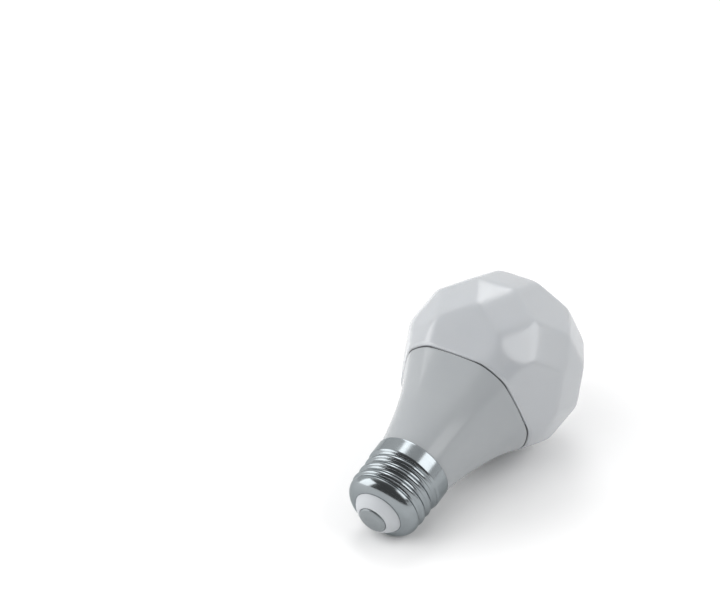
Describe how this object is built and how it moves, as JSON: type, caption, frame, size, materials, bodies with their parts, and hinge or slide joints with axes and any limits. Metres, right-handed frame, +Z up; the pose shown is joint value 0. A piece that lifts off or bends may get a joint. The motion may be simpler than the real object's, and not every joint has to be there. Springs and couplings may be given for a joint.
{
  "type": "smart light bulb",
  "caption": "Smart LED light bulb with a screw cap, a flared grey housing and a milky faceted diffuser, lying on its side.",
  "frame": {"origin": "centre of the bulb's footprint on the floor it lies on", "axes": "+Z up from the floor, +Y along the bulb from the cap towards the diffuser, +X to the side; the bulb's own axis rises by 15.8 degrees from the cap to the diffuser"},
  "size_m": [0.0602, 0.1054, 0.0622],
  "materials": {
    "contact_metal": "dull nickel-plated contact with fine lathe marks",
    "insulator": "smooth light grey moulded insulator",
    "cap_metal": "bright nickel-plated rolled shell, brushed along the band",
    "housing_plastic": "pale grey moulded plastic, satin, very fine grain",
    "diffuser_plastic": "milky translucent polycarbonate, satin",
    "seal": "grey silicone bead",
    "aluminium": "drawn aluminium, matt",
    "thermal_pad": "grey heat-conducting silicone",
    "white_board": "white solder mask on a metal core",
    "led_warm": "yellow phosphor",
    "led_cool": "pale yellow phosphor",
    "led_colour": "white package with clear window",
    "steel": "zinc-plated steel",
    "liner": "natural white plastic",
    "green_board": "green glass-fibre board",
    "ferrite": "dark grey ferrite",
    "bobbin": "black moulded plastic",
    "winding": "yellow tape over copper winding",
    "capacitor_sleeve": "black sleeve",
    "film_block": "dark red epoxy",
    "resistor_sleeve": "dark green lacquer",
    "black_chip": "black moulding compound",
    "gold_pin": "gold-plated brass",
    "blue_board": "blue glass-fibre board",
    "lead_brown": "brown insulation",
    "solder": "tin solder",
    "lead_blue": "blue insulation"
  },
  "bodies": {
    "root": {"centre_contact": "contact_metal", "cap_insulator": "insulator", "screw_shell": "cap_metal", "housing_shell": "housing_plastic", "diffuser_dome": "diffuser_plastic", "dome_seal": "seal", "heat_sink_cup": "aluminium", "thermal_pad": "thermal_pad", "led_board": "white_board", "warm_white_leds": "led_warm", "cool_white_leds": "led_cool", "colour_leds": "led_colour", "board_screws": "steel", "insulating_sleeve": "liner", "driver_board": "green_board", "transformer_core": "ferrite", "transformer_bobbin": "bobbin", "transformer_winding": "winding", "input_capacitor": "capacitor_sleeve", "output_capacitor": "capacitor_sleeve", "film_capacitor": "film_block", "fusible_resistor": "resistor_sleeve", "bridge_rectifier": "black_chip", "driver_chip": "black_chip", "pin_header": "black_chip", "header_pins": "gold_pin", "radio_board": "blue_board", "radio_shield": "steel", "radio_chip": "black_chip", "antenna_trace": "gold_pin", "live_lead": "lead_brown", "live_solder": "solder", "neutral_lead": "lead_blue", "neutral_solder": "solder"}
  },
  "joints": []
}
